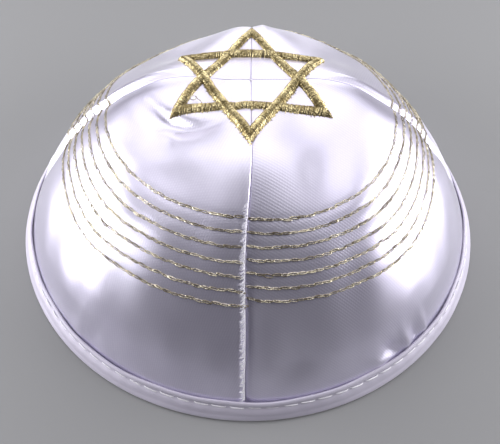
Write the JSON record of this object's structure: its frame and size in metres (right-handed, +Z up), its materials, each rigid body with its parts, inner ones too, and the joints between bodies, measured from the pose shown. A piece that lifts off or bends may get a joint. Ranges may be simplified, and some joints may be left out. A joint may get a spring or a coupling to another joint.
{
  "type": "kippah skullcap",
  "caption": "Shallow round skullcap of satin gores with a bound rim, a raised embroidered star on the crown and an open hollow that sits on the back of the head.",
  "frame": {"origin": "on the ground, under the crown, at the centre of the rim", "axes": "+Z up through the crown, -Y towards the front seam, +X to the right as seen from the front"},
  "size_m": [0.1702, 0.1702, 0.0582],
  "materials": {
    "satin": "glossy white satin weave",
    "binding_tape": "white satin tape",
    "gold_thread": "metallised gold embroidery thread"
  },
  "bodies": {
    "root": {"panel_front_left": "satin", "panel_front_right": "satin", "panel_back_left": "satin", "panel_back_right": "satin", "rim_binding": "binding_tape", "star_embroidery": "gold_thread"}
  },
  "joints": []
}
